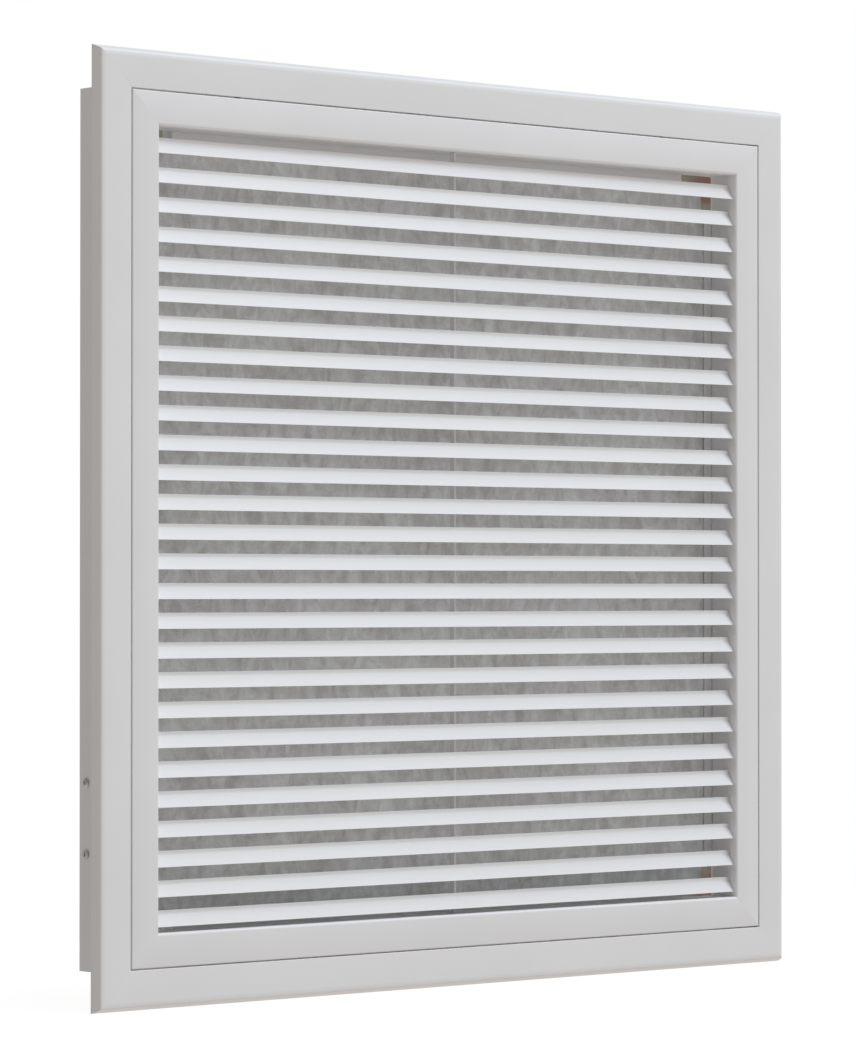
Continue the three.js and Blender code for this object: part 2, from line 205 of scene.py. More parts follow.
def turned(name, profile, steps=TURN_STEPS, axis=(0, 0, 1), place=(0, 0, 0)):
    """A profile of (radius, height) points, closed on the axis at both ends, turned about axis."""
    turn = Vector((0, 0, 1)).rotation_difference(Vector(axis)).to_matrix()
    points, faces, rows = [], [], []
    for radius, height in profile:
        if radius < ON_AXIS:
            rows.append([len(points)] * steps)
            points.append(turn @ Vector((0, 0, height)) + Vector(place))
            continue
        rows.append(list(range(len(points), len(points) + steps)))
        for k in range(steps):
            angle = 2 * math.pi * k / steps
            spot = Vector((radius * math.cos(angle), radius * math.sin(angle), height))
            points.append(turn @ spot + Vector(place))
    for low, high in zip(rows, rows[1:]):
        for k in range(steps):
            m = (k + 1) % steps
            face = list(dict.fromkeys((low[k], low[m], high[m], high[k])))
            if len(face) > 2:
                faces.append(face)
    mesh = bpy.data.meshes.new(name)
    mesh.from_pydata(points, [], faces)
    return linked(name, cleaned(mesh))


def rounded_profile(corners):
    """A profile to be turned, from its (radius, height, rounding) corners."""
    return [(max(0.0, radius), height) for radius, height in filleted(corners, PROFILE_STEPS)]


def bake_modifiers(piece):
    """Puts the result of the modifiers into the mesh and removes them."""
    bpy.context.view_layer.update()
    depsgraph = bpy.context.evaluated_depsgraph_get()
    mesh = bpy.data.meshes.new_from_object(piece.evaluated_get(depsgraph), depsgraph=depsgraph)
    piece.modifiers.clear()
    old = piece.data
    piece.data = mesh
    bpy.data.meshes.remove(old)
    return piece


def cut_away(piece, tool):
    """Cuts a closed tool out of a piece, and removes the tool."""
    cut = piece.modifiers.new("cut", "BOOLEAN")
    cut.operation = "DIFFERENCE"
    cut.solver = "EXACT"
    cut.object = tool
    bake_modifiers(piece)
    bpy.data.objects.remove(tool)


def drilled(piece, holes):
    """Cuts round holes (place, axis, radius, length) through a piece."""
    for place, axis, radius, length in holes:
        half = length / 2
        profile = [(0, -half), (radius, -half), (radius, half), (0, half)]
        cut_away(piece, turned("drill", profile, DRILL_STEPS, axis, place))


def eased(piece):
    """Rounds the sharp edges a little, as plating or paint does."""
    bevel = piece.modifiers.new("eased", "BEVEL")
    bevel.width = EASED_WIDTH
    bevel.segments = EASED_SEGMENTS
    bevel.limit_method = "ANGLE"
    bevel.angle_limit = EASED_ANGLE
    bevel.harden_normals = False
    return bake_modifiers(piece)


def copied_node(name, node):
    """A merged copy of a CAD node's mesh, with its flat faces joined up."""
    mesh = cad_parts[node].data.copy()
    mesh.materials.clear()
    work = bmesh.new()
    work.from_mesh(mesh)
    bmesh.ops.remove_doubles(work, verts=work.verts, dist=MERGE)
    bmesh.ops.dissolve_limit(work, angle_limit=FLAT_ANGLE, verts=work.verts, edges=work.edges)
    work.to_mesh(mesh)
    work.free()
    return linked(name, mesh)


def settled(piece, material, slot, body, *nodes):
    """Gives a finished piece its material and its CAD body, and hides the CAD nodes that it stands
    for.
    """
    piece.data.materials.clear()
    piece.data.materials.append(material)
    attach(piece, body)
    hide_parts(*nodes)


# ---- Node trees ----


def add_node(tree, kind, **values):
    """Adds a node, and sets or links its inputs by socket name."""
    made = tree.nodes.new(kind)
    for key, value in values.items():
        plug(tree, made.inputs[key.replace("_", " ")], value)
    return made


def plug(tree, socket, value):
    """Links an input to an output socket, or sets it to a plain value."""
    if isinstance(value, bpy.types.NodeSocket):
        tree.links.new(value, socket)
    else:
        socket.default_value = value


def calculated(tree, operation, *values):
    made = tree.nodes.new("ShaderNodeMath")
    made.operation = operation
    for socket, value in zip(made.inputs, values):
        plug(tree, socket, value)
    return made.outputs[0]


def bare_material(name):
    """A new material, its empty tree, and its output's surface input."""
    material = bpy.data.materials.new(name)
    material.use_nodes = True
    tree = material.node_tree
    tree.nodes.clear()
    output = tree.nodes.new("ShaderNodeOutputMaterial")
    return material, tree, output.inputs["Surface"]


def finish_material(name, viewport):
    """A material with one Principled shader, its tree, the shader and its Object coordinates."""
    material, tree, result = bare_material(name)
    material.diffuse_color = viewport
    surface = tree.nodes.new("ShaderNodeBsdfPrincipled")
    tree.links.new(surface.outputs[0], result)
    where = tree.nodes.new("ShaderNodeTexCoord").outputs["Object"]
    return material, tree, surface, where


def noise_on(tree, where, scale, detail=2.0, roughness=0.5, distortion=0.0):
    made = add_node(
        tree,
        "ShaderNodeTexNoise",
        Vector=where,
        Scale=scale,
        Detail=detail,
        Roughness=roughness,
        Distortion=distortion,
    )
    return made.outputs[0]


def mapped(tree, where, scale, rotation=(0, 0, 0)):
    made = add_node(tree, "ShaderNodeMapping", Vector=where, Scale=scale, Rotation=rotation)
    return made.outputs[0]


def ranged(tree, value, low, high, to_low=0, to_high=1):
    """Stretches low to high out to to_low to to_high, and holds the value there beyond them."""
    made = tree.nodes.new("ShaderNodeMapRange")
    for socket, number in zip(made.inputs, (value, low, high, to_low, to_high)):
        plug(tree, socket, number)
    return made.outputs[0]


def ramp_between(tree, factor, low, high):
    made = tree.nodes.new("ShaderNodeMix")
    made.data_type = "RGBA"
    plug(tree, made.inputs[0], factor)
    plug(tree, made.inputs[6], (*low, 1))
    plug(tree, made.inputs[7], (*high, 1))
    return made.outputs[2]


def bumped(tree, height, distance, strength, under=None):
    made = add_node(tree, "ShaderNodeBump", Height=height, Distance=distance, Strength=strength)
    if under is not None:
        tree.links.new(under, made.inputs["Normal"])
    return made.outputs[0]


# ---- Finishes ----

COAT_SHADES = ((0.775, 0.778, 0.79), (0.8, 0.803, 0.812))
FLEECE_SHADES = ((0.6, 0.6, 0.6), (0.89, 0.925, 0.945))
ZINC_SHADES = ((0.5, 0.505, 0.51), (0.68, 0.69, 0.7))

# Degrees that a layer of fibres is turned by, and how close together its fibres lie.
FIBRE_LAYERS = ((20, 1.0), (75, 1.1), (128, 0.9), (165, 1.2))
FIBRES_ALONG = 60
FIBRES_ACROSS = 1500


def white_powder_coat():
    """Satin white polyester powder: a fine orange peel over slow waves, with faint clouding."""
    material, tree, surface, where = finish_material("white_powder_coat", (0.8, 0.8, 0.81, 1))
    peel = noise_on(tree, where, scale=900)
    grit = noise_on(tree, where, scale=3200, detail=1.0)
    waves = noise_on(tree, where, scale=110)
    clouds = noise_on(tree, where, scale=9, detail=3.0, roughness=0.55)
    tint = ramp_between(tree, ranged(tree, clouds, 0.3, 0.7), *COAT_SHADES)
    plug(tree, surface.inputs["Base Color"], tint)
    speckled = ranged(tree, peel, 0.3, 0.7, -0.04, 0.04)
    gloss = calculated(tree, "ADD", speckled, ranged(tree, clouds, 0.3, 0.7, 0.42, 0.5))
    plug(tree, surface.inputs["Roughness"], gloss)
    normal = bumped(tree, waves, 0.06 * MM, 0.6)
    normal = bumped(tree, peel, 0.03 * MM, 0.5, normal)
    normal = bumped(tree, grit, 0.008 * MM, 0.4, normal)
    plug(tree, surface.inputs["Normal"], normal)
    surface.inputs["IOR"].default_value = 1.5
    surface.inputs["Specular IOR Level"].default_value = 0.5
    return material


def filter_fleece():
    """Thermally bonded grey fleece: cloudy felt, with fine fibres lying every way."""
    material, tree, surface, where = finish_material("filter_fleece", (0.45, 0.45, 0.43, 1))
    tall = mapped(tree, where, (1, 1, 0.62))
    clouds = noise_on(tree, tall, scale=95, detail=4.0, roughness=0.62, distortion=0.6)
    drifts = noise_on(tree, mapped(tree, where, (1, 1, 0.8)), scale=24)
    fibres = None
    for turn, closeness in FIBRE_LAYERS:
        stretch = (FIBRES_ALONG * closeness, FIBRES_ALONG, FIBRES_ACROSS * closeness)
        along = mapped(tree, where, stretch, (0, math.radians(turn), 0))
        strands = noise_on(tree, along, scale=1.0, detail=1.0, distortion=0.8)
        fibres = strands if fibres is None else calculated(tree, "MAXIMUM", fibres, strands)
    specks = noise_on(tree, where, scale=700, roughness=0.6)
    mixed = calculated(tree, "MULTIPLY", drifts, 0.28)
    mixed = calculated(tree, "MULTIPLY_ADD", clouds, 0.72, mixed)
    mixed = calculated(tree, "MULTIPLY_ADD", fibres, 0.16, mixed)
    mixed = calculated(tree, "MULTIPLY_ADD", specks, 0.1, mixed)
    tint = ramp_between(tree, ranged(tree, mixed, 0.5, 0.8), *FLEECE_SHADES)
    plug(tree, surface.inputs["Base Color"], tint)
    surface.inputs["Roughness"].default_value = 0.95
    surface.inputs["Specular IOR Level"].default_value = 0.2
    surface.inputs["Sheen Weight"].default_value = 0.25
    surface.inputs["Sheen Roughness"].default_value = 0.6
    normal = bumped(tree, clouds, 1.2 * MM, 0.6)
    normal = bumped(tree, fibres, 0.35 * MM, 0.8, normal)
    normal = bumped(tree, specks, 0.2 * MM, 0.5, normal)
    plug(tree, surface.inputs["Normal"], normal)
    return material


def zinc_plated_steel():
    """Bright zinc over pressed steel: tumbled scratches, and a cloudy blue-white passivation."""
    material, tree, surface, where = finish_material("zinc_plated_steel", (0.6, 0.61, 0.62, 1))
    clouds = noise_on(tree, where, scale=220, detail=3.0, roughness=0.6)
    rubbed = mapped(tree, where, (1, 0.12, 1), (0.4, 0, 0))
    scratches = noise_on(tree, rubbed, scale=3600, roughness=0.6)
    grain = noise_on(tree, where, scale=2600, roughness=0.6)
    tint = ramp_between(tree, ranged(tree, clouds, 0.35, 0.65), *ZINC_SHADES)
    plug(tree, surface.inputs["Base Color"], tint)
    surface.inputs["Metallic"].default_value = 1
    cloudy = ranged(tree, clouds, 0.3, 0.7, 0.2, 0.34)
    gloss = calculated(tree, "MULTIPLY_ADD", scratches, 0.22, cloudy)
    plug(tree, surface.inputs["Roughness"], gloss)
    normal = bumped(tree, scratches, 0.01 * MM, 0.5)
    normal = bumped(tree, grain, 0.01 * MM, 0.4, normal)
    plug(tree, surface.inputs["Normal"], normal)
    return material


coat = white_powder_coat()
fleece = filter_fleece()
zinc = zinc_plated_steel()


# ---- Camera, floor and light ----

LENS = 149.18
SENSOR_WIDTH = 36
CLIP_END = 60
CAMERA_PLACE = (-2.0508, -2.3598, -0.0414)
CAMERA_TURN = (math.radians(90.79), 0, math.radians(-40.615))

STAGE_REACH = 14
FLOOR_BEHIND = 0.5
FLOOR_DROP = 0.2 * MM
FLOOR_GLOW, FLOOR_PAINT = 0.86, 0.3
BACKDROP_GLOW, BACKDROP_PAINT = 1.0, 0.0

# The middle of the opening beside the mat at its upper right corner.
OPEN_CORNER = (0.258, 0.03, 0.262)
CARD_DISTANCE = 10
CARD_WIDTH = 0.28
# Painted shade: dim brown and olive tints that glow on cards seen through the open corners behind
# the blades.
PAINTED_SHADE_TINTS = ((0.17, 0.155, 0.12), (0.15, 0.09, 0.068))

# Name, degrees to the right of straight ahead, degrees up, and watts.
LAMPS = (
    ("softbox_key", 35, 50, 795),
    ("softbox_above", 0, 80, 425),
)
LAMP_DISTANCE = 12
LAMP_WIDTH = 4.8
LAMP_TINT = (0.86, 0.922, 1)
WORLD_LEVEL = 0.5
WORLD_TINT = (1, 0.943, 0.89, 1)
WORLD_SLOPE = (0.085, 0, -0.275)


def studio():
    scene = bpy.context.scene
    scene.view_settings.view_transform = "Standard"
    lens = bpy.data.cameras.new("camera")
    lens.lens = LENS
    lens.sensor_width = SENSOR_WIDTH
    lens.clip_end = CLIP_END
    camera = linked("camera", lens)
    camera.location = CAMERA_PLACE
    camera.rotation_euler = CAMERA_TURN
    scene.camera = camera
    floor_white = studio_white("floor_white", FLOOR_GLOW, FLOOR_PAINT)
    stage_piece("floor", floor_mesh(), floor_white)
    backdrop_white = studio_white("backdrop_white", BACKDROP_GLOW, BACKDROP_PAINT)
    stage_piece("backdrop", backdrop_mesh(), backdrop_white)
    # Painted shade: dim glowing cards far behind the four open corners, in line with the camera.
    surroundings = painted_shade_material()
    for across in (-1, 1):
        for up in (-1, 1):
            corner = Vector((across, 1, up)) * Vector(OPEN_CORNER)
            stage_piece("surroundings", painted_shade_sheet(corner, camera.location), surroundings)
    studio_world(scene)
    for name, right, up, power in LAMPS:
        studio_lamp(name, math.radians(right), math.radians(up), power)


def studio_lamp(name, across, rise, power):
    """A square lamp that faces the object and that the camera doesn't see."""
    lamp = bpy.data.lights.new(name, "AREA")
    lamp.shape = "SQUARE"
    lamp.size = LAMP_WIDTH
    lamp.energy = power
    lamp.color = LAMP_TINT
    holder = linked(name, lamp)
    level = math.cos(rise)
    towards = Vector((math.sin(across) * level, -math.cos(across) * level, math.sin(rise)))
    holder.location = towards * LAMP_DISTANCE
    holder.rotation_euler = (-towards).to_track_quat("-Z", "Y").to_euler()
    holder.visible_camera = False


def studio_white(name, glow, paint):
    """A matt white that reflects the share paint of the light, and adds glow of its own."""
    material, tree, result = bare_material(name)
    light = add_node(tree, "ShaderNodeEmission", Color=(1, 1, 1, 1), Strength=glow)
    matt = add_node(tree, "ShaderNodeBsdfDiffuse", Color=(paint, paint, paint, 1))
    both = add_node(tree, "ShaderNodeAddShader")
    tree.links.new(light.outputs[0], both.inputs[0])
    tree.links.new(matt.outputs[0], both.inputs[1])
    tree.links.new(both.outputs[0], result)
    return material


def flat_sheet(name, corners):
    mesh = bpy.data.meshes.new(name)
    mesh.from_pydata(corners, [], [(0, 1, 2, 3)])
    return mesh


def floor_mesh():
    """A wide floor just under the object, which ends a little way behind it."""
    level = cad_low.z - FLOOR_DROP
    front = [(x, -STAGE_REACH, level) for x in (-STAGE_REACH, STAGE_REACH)]
    behind = [(x, FLOOR_BEHIND, level) for x in (STAGE_REACH, -STAGE_REACH)]
    return flat_sheet("floor", front + behind)


def backdrop_mesh():
    """A ball round the whole set, seen from inside."""
    mesh = bpy.data.meshes.new("backdrop")
    work = bmesh.new()
    bmesh.ops.create_uvsphere(work, u_segments=32, v_segments=16, radius=STAGE_REACH)
    bmesh.ops.reverse_faces(work, faces=work.faces)
    work.to_mesh(mesh)
    work.free()
    return mesh


def painted_shade_material():
    """Painted shade: the brown and olive room seen through the open corners behind the blades, as
    dim glowing patches.
    """
    material, tree, result = bare_material("surroundings")
    where = tree.nodes.new("ShaderNodeTexCoord").outputs["Object"]
    patches = ranged(tree, noise_on(tree, where, scale=14), 0.42, 0.58)
    shade = ramp_between(tree, patches, *PAINTED_SHADE_TINTS)
    # Painted shade: the cards glow with the dim tints, and light nothing.
    light = add_node(tree, "ShaderNodeEmission", Color=shade, Strength=1.0)
    tree.links.new(light.outputs[0], result)
    return material


def painted_shade_sheet(corner, eye):
    """A square card of painted shade far behind a corner, in line with the eye."""
    line = (corner - eye).normalized()
    turn = line.to_track_quat("Z", "Y").to_matrix()
    middle = corner + line * CARD_DISTANCE
    half = CARD_WIDTH / 2
    spots = ((-half, -half), (half, -half), (half, half), (-half, half))
    points = [middle + turn @ Vector((x, y, 0)) for x, y in spots]
    return flat_sheet("surroundings", points)


def stage_piece(name, mesh, material):
    """A piece of the set that the camera sees and that lights nothing."""
    mesh.materials.append(material)
    piece = linked(name, mesh)
    piece.visible_diffuse = False
    piece.visible_glossy = False
    piece.visible_transmission = False
    piece.visible_volume_scatter = False
    piece.visible_shadow = False


def studio_world(scene):
    """Soft light from all round, which grows evenly along the slope."""
    world = bpy.data.worlds.new("studio")
    world.use_nodes = True
    tree = world.node_tree
    tree.nodes.clear()
    where = tree.nodes.new("ShaderNodeTexCoord").outputs["Generated"]
    along = tree.nodes.new("ShaderNodeVectorMath")
    along.operation = "DOT_PRODUCT"
    tree.links.new(where, along.inputs[0])
    along.inputs[1].default_value = WORLD_SLOPE
    level = calculated(tree, "ADD", along.outputs["Value"], WORLD_LEVEL)
    light = add_node(tree, "ShaderNodeBackground", Color=WORLD_TINT, Strength=level)
    output = tree.nodes.new("ShaderNodeOutputWorld")
    tree.links.new(light.outputs[0], output.inputs["Surface"])
    scene.world = world


# ---- Frame members ----


def on_side(side, size):
    """The turn from (along, depth, inset) on a side of a frame to the frame of the CAD."""
    half_width, half_height = size
    return {
        "top": lambda along, depth, inset: (along, FRONT + depth, half_height - inset),
        "bottom": lambda along, depth, inset: (-along, FRONT + depth, inset - half_height),
        "left": lambda along, depth, inset: (inset - half_width, FRONT + depth, along),
        "right": lambda along, depth, inset: (half_width - inset, FRONT + depth, -along),
    }[side]


def mitred_member(name, outline, side, size):
    """An (inset, depth) outline run along one side of a frame, with both ends mitred."""
    place = on_side(side, size)
    half_length = size[0] if side in ("top", "bottom") else size[1]
    end = half_length - MITRE_GAP / 2 * math.sqrt(2)
    rings = []
    for sign in (-1, 1):
        rings.append([place(sign * (end - inset), depth, inset) for inset, depth in outline])
    return lofted(name, rings)


def outer_section():
    """A flange with a rim, a bevel and a crowned front, as thick as its plate, and the neck."""
    drop = FLANGE_DEPTH - FLANGE_RIM - FLANGE_CROWN_DEPTH
    across = PLATE / math.sin(math.atan2(drop, FLANGE_BEVEL))
    inside_top = FLANGE_BEVEL * (1 - PLATE / drop) + across
    inside_drop = drop * (1 + (across - PLATE) / FLANGE_BEVEL)
    return filleted(
        [
            (0, FLANGE_DEPTH, PLATE_EDGE_ROUND),
            (0, FLANGE_DEPTH - FLANGE_RIM, FLANGE_RIM_ROUND),
            (FLANGE_BEVEL, FLANGE_CROWN_DEPTH, FLANGE_EDGE_ROUND),
            (FLANGE_CROWN, 0, FLANGE_CROWN_ROUND),
            (FLANGE_WIDTH, 0, FLANGE_INNER_ROUND),
            (FLANGE_WIDTH, PLATE, PLATE_EDGE_ROUND),
            (FLANGE_OVERLAP + WALL, PLATE, 0),
            (FLANGE_OVERLAP + WALL, NECK_BACK, PLATE_EDGE_ROUND),
            (FLANGE_OVERLAP, NECK_BACK, PLATE_EDGE_ROUND),
            (FLANGE_OVERLAP, PLATE, FOLD_ROUND),
            (inside_top, PLATE + FLANGE_CROWN_DEPTH, FOLD_ROUND),
            (PLATE, FLANGE_CROWN_DEPTH + inside_drop, 0),
            (PLATE, FLANGE_DEPTH, PLATE_EDGE_ROUND),
        ]
    )


def core_section():
    """A face with a lip round its outside, and a throat that ends in a rear flange."""
    rear = CORE_FACE - CORE_REAR_FLANGE
    return filleted(
        [
            (0, CORE_LIP, PLATE_EDGE_ROUND),
            (0, 0, CORE_OUTER_ROUND),
            (CORE_FACE, 0, CORE_INNER_ROUND),
            (CORE_FACE, CORE_THROAT, FOLD_ROUND),
            (rear, CORE_THROAT, PLATE_EDGE_ROUND),
            (rear, CORE_THROAT - WALL, PLATE_EDGE_ROUND),
            (CORE_FACE - WALL, CORE_THROAT - WALL, 0),
            (CORE_FACE - WALL, PLATE, 0),
            (WALL, PLATE, 0),
            (WALL, CORE_LIP, PLATE_EDGE_ROUND),
        ]
    )


def centre_of(node):
    low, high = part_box(node)
    return (low + high) / 2


CATCH_BORE = 3.8 * MM
NOSE_BORE = 2.1 * MM
SCREW_BORE = 2.3 * MM
PIN_BORE = 2.3 * MM
DRILL_LENGTH = 6 * MM


def frame_holes(member):
    """The holes through one member, for the catches, their noses, the screws or a hinge pin."""
    up, across = (0, 0, 1), (1, 0, 0)
    if member == "outer_frame_top":
        level = OUTER[1] - FLANGE_OVERLAP - WALL / 2
        places = [centre_of(f"catch_body_{side}") for side in SIDE_SIGN]
        return [((p.x, p.y, level), up, NOSE_BORE, DRILL_LENGTH) for p in places]
    if member == "core_frame_top":
        places = [centre_of(f"catch_body_{side}") for side in SIDE_SIGN]
        return [((p.x, p.y, CORE[1] - WALL / 2), up, CATCH_BORE, WALL * 2) for p in places]
    side = member.rsplit("_", 1)[1]
    if side == "bottom":
        return []
    if member.startswith("outer"):
        level = SIDE_SIGN[side] * (OUTER[0] - FLANGE_OVERLAP - WALL / 2)
        places = [centre_of(f"hinge_screw_{side}_{row}") for row in ("upper", "lower")]
        return [((level, p.y, p.z), across, SCREW_BORE, WALL * 2) for p in places]
    pin = centre_of(f"hinge_pin_{side}")
    return [((SIDE_SIGN[side] * (CORE[0] - WALL / 2), pin.y, pin.z), across, PIN_BORE, WALL * 2)]


def frame_pieces():
    for family, outline, size, body in (
        ("outer_frame", outer_section(), OUTER, "outer_frame"),
        ("core_frame", core_section(), CORE, "core"),
    ):
        for side in SIDES:
            node = f"{family}_{side}"
            member = mitred_member(node.replace("_frame_", "_member_"), outline, side, size)
            drilled(member, frame_holes(node))
            smoothed(member)
            settled(member, coat, "white_powder_coat", body, node)


# ---- Blades and mullion ----


def new_tree(name, inputs):
    """A Geometry Nodes tree with named inputs, its input node and its output node."""
    tree = bpy.data.node_groups.new(name, "GeometryNodeTree")
    for label, kind in inputs:
        tree.interface.new_socket(name=label, in_out="INPUT", socket_type=f"NodeSocket{kind}")
    tree.interface.new_socket(name="Geometry", in_out="OUTPUT", socket_type="NodeSocketGeometry")
    given = tree.nodes.new("NodeGroupInput").outputs
    result = tree.nodes.new("NodeGroupOutput").inputs[0]
    return tree, given, result


def grown(name, tree, values):
    """Runs a tree with the given inputs and keeps what it makes as a plain mesh."""
    piece = linked(name, bpy.data.meshes.new(name))
    growth = piece.modifiers.new(name, "NODES")
    growth.node_group = tree
    for socket in tree.interface.items_tree:
        if socket.in_out == "INPUT":
            growth[socket.identifier] = values[socket.name]
    return bake_modifiers(piece)


def finish_tree(tree, made, material, result):
    """Ends a tree with plain, coated geometry."""
    whole = add_node(tree, "GeometryNodeRealizeInstances", Geometry=made)
    coated = add_node(tree, "GeometryNodeSetMaterial", Geometry=whole.outputs[0], Material=material)
    tree.links.new(coated.outputs[0], result)


def section_curve(name, outline):
    """A closed curve in its own plane, turned so that a run along X keeps (depth, height)."""
    curve = bpy.data.curves.new(name, "CURVE")
    curve.dimensions = "3D"
    spline = curve.splines.new("POLY")
    spline.points.add(len(outline) - 1)
    for point, (depth, height) in zip(spline.points, outline):
        point.co = (-depth, -height, 0, 1)
    spline.use_cyclic_u = True
    return linked(name, curve)


def blade_section():
    """A blade's outline: a flat that leans back from a sharp lip, a bend and an upright top."""
    flat_top = BLADE_FLAT_HEIGHT * math.tan(BLADE_LEAN)
    upright = flat_top + BLADE_BEND_RADIUS * (1 - math.cos(BLADE_LEAN))
    bend_rise = BLADE_BEND_RADIUS * math.sin(BLADE_LEAN)
    centre = (upright - BLADE_BEND_RADIUS, BLADE_FLAT_HEIGHT + bend_rise)
    outer = BLADE_BEND_RADIUS + BLADE_THICKNESS
    lean = math.degrees(BLADE_LEAN)
    return filleted(
        [
            (0, 0, BLADE_LIP_ROUND),
            *arc_points(centre, BLADE_BEND_RADIUS, -lean, 0),
            (upright, BLADE_HEIGHT, BLADE_EDGE_ROUND),
            (upright + BLADE_THICKNESS, BLADE_HEIGHT, BLADE_EDGE_ROUND),
            *arc_points(centre, outer, 0, -lean),
            (BLADE_THICKNESS / math.cos(BLADE_LEAN), 0, BLADE_EDGE_ROUND),
        ],
        4,
    )


def blade_tree():
    """A stack of blades: one section run along X, repeated downwards from the first."""
    tree, given, result = new_tree(
        "blade_stack",
        [
            ("Section", "Object"),
            ("Length", "Float"),
            ("Pitch", "Float"),
            ("Blades", "Int"),
            ("First Lip", "Vector"),
            ("Material", "Material"),
        ],
    )
    section = add_node(tree, "GeometryNodeObjectInfo", Object=given["Section"])
    half = calculated(tree, "MULTIPLY", given["Length"], 0.5)
    minus = calculated(tree, "MULTIPLY", given["Length"], -0.5)
    start = add_node(tree, "ShaderNodeCombineXYZ", X=minus)
    end = add_node(tree, "ShaderNodeCombineXYZ", X=half)
    line = add_node(
        tree, "GeometryNodeCurvePrimitiveLine", Start=start.outputs[0], End=end.outputs[0]
    )
    blade = add_node(
        tree,
        "GeometryNodeCurveToMesh",
        Curve=line.outputs[0],
        Profile_Curve=section.outputs["Geometry"],
        Fill_Caps=True,
    )
    downwards = calculated(tree, "MULTIPLY", given["Pitch"], -1)
    step = add_node(tree, "ShaderNodeCombineXYZ", Z=downwards)
    places = add_node(
        tree,
        "GeometryNodeMeshLine",
        Count=given["Blades"],
        Start_Location=given["First Lip"],
        Offset=step.outputs[0],
    )
    stack = add_node(
        tree, "GeometryNodeInstanceOnPoints", Points=places.outputs[0], Instance=blade.outputs[0]
    )
    finish_tree(tree, stack.outputs[0], given["Material"], result)
    return tree


def blade_pieces():
    nodes = sorted(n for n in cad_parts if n.startswith("louvre_"))
    low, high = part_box(nodes[0])
    section = section_curve("blade_section", blade_section())
    blades = grown(
        "blades",
        blade_tree(),
        {
            "Section": section,
            "Length": high.x - low.x,
            "Pitch": low.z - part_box(nodes[1])[0].z,
            "Blades": len(nodes),
            "First Lip": Vector((0, low.y, low.z)),
            "Material": coat,
        },
    )
    bpy.data.objects.remove(section)
    cleaned(blades.data, FINE_MERGE)
    smoothed(blades)
    settled(blades, coat, "white_powder_coat", "core", *nodes)


def bar_between(name, low, high, radius):
    """An upright bar that fills a box, with rounded long edges."""
    corners = [(low.x, low.y), (high.x, low.y), (high.x, high.y), (low.x, high.y)]
    outline = filleted([(x, y, radius) for x, y in corners], 4)
    return lofted(name, [[(x, y, z) for x, y in outline] for z in (low.z, high.z)])


def mullion_piece():
    bar = smoothed(bar_between("mullion", *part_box("core_mullion"), MULLION_EDGE_ROUND))
    settled(bar, coat, "white_powder_coat", "core", "core_mullion")


# ---- Filter ----


def rail_pieces():
    """Angles whose lip lies in front of the mat and whose wall stands outside it."""
    for side in SIDES:
        node = f"filter_rail_{side}"
        low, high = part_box(node)
        upright = side in SIDE_SIGN
        half_length = (high.z - low.z) / 2 if upright else (high.x - low.x) / 2
        size = (high.x, high.z) if side in ("top", "right") else (-low.x, -low.z)
        lip = (high.x - low.x) if upright else (high.z - low.z)
        start = low.y - FRONT
        end = high.y - FRONT
        outline = filleted(
            [
                (0, start, FOLD_ROUND),
                (lip, start, PLATE_EDGE_ROUND),
                (lip, start + RAIL_WALL, PLATE_EDGE_ROUND),
                (RAIL_WALL, start + RAIL_WALL, 0),
                (RAIL_WALL, end, PLATE_EDGE_ROUND),
                (0, end, PLATE_EDGE_ROUND),
            ],
            4,
        )
        place = on_side(side, size)
        rings = []
        for along in (-half_length, half_length):
            rings.append([place(along, depth, inset) for inset, depth in outline])
        rail = smoothed(lofted(f"mat_rail_{side}", rings))
        settled(rail, coat, "white_powder_coat", "core", node)


MAT_CELL = 4 * MM
MAT_EDGE_ROUND = 3.2 * MM
MAT_LAYERS = 5
MAT_NEAR_EDGE = (0.5 * MM, 1.2 * MM, 2.2 * MM, 3.4 * MM)

LUMPS_PER_METRE = 70
LUMP_DIMENSION = 0.9
LUMP_LACUNARITY = 2.1
LUMP_OCTAVES = 3
TUFTS_PER_METRE = 260
TUFT_SHARE = 0.5
SINK_DEPTH = 0.8 * MM
SINK_MEAN = 0.45
SINK_SPREAD = 0.5
SINK_MOST = 1.2


def mat_outline_sizes():
    """Half sizes of the mat out to the rails' walls, at the cut corners and at the rails' ends,
    and the places of its front and back.
    """
    low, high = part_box("filter_mat")
    rail_end = (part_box("filter_rail_top")[1].x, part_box("filter_rail_right")[1].z)
    corner = (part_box("filter_rail_right")[0].x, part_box("filter_rail_top")[0].z)
    return (high.x, high.z), corner, rail_end, low.y, high.y


def grid_lines(full, corner, rail_end):
    """Places of the mesh lines across the mat, closer together beside its edges."""
    stops = {full, corner, rail_end}
    for edge in (full, corner, rail_end):
        stops.update(edge - step for step in MAT_NEAR_EDGE)
    first = min(stops)
    even = int(first // MAT_CELL)
    stops.update(first * i / even for i in range(even))
    half = sorted(stops)
    return np.array([-x for x in reversed(half[1:])] + half)


def edge_distance(x, z, full, corner, rail_end):
    """How far a point of the mat lies inside its cut-cornered outline."""
    quarter = [
        (full[0], 0.0),
        (full[0], rail_end[1]),
        (corner[0], rail_end[1]),
        (corner[0], corner[1]),
        (rail_end[0], corner[1]),
        (rail_end[0], full[1]),
        (0.0, full[1]),
    ]
    spot = np.stack([np.abs(x), np.abs(z)], -1)
    nearest = np.full(x.shape, np.inf)
    for a, b in zip(quarter, quarter[1:]):
        a, b = np.array(a), np.array(b)
        run = b - a
        t = np.clip(((spot - a) @ run) / (run @ run), 0, 1)
        nearest = np.minimum(nearest, np.linalg.norm(spot - (a + t[..., None] * run), axis=-1))
    return nearest


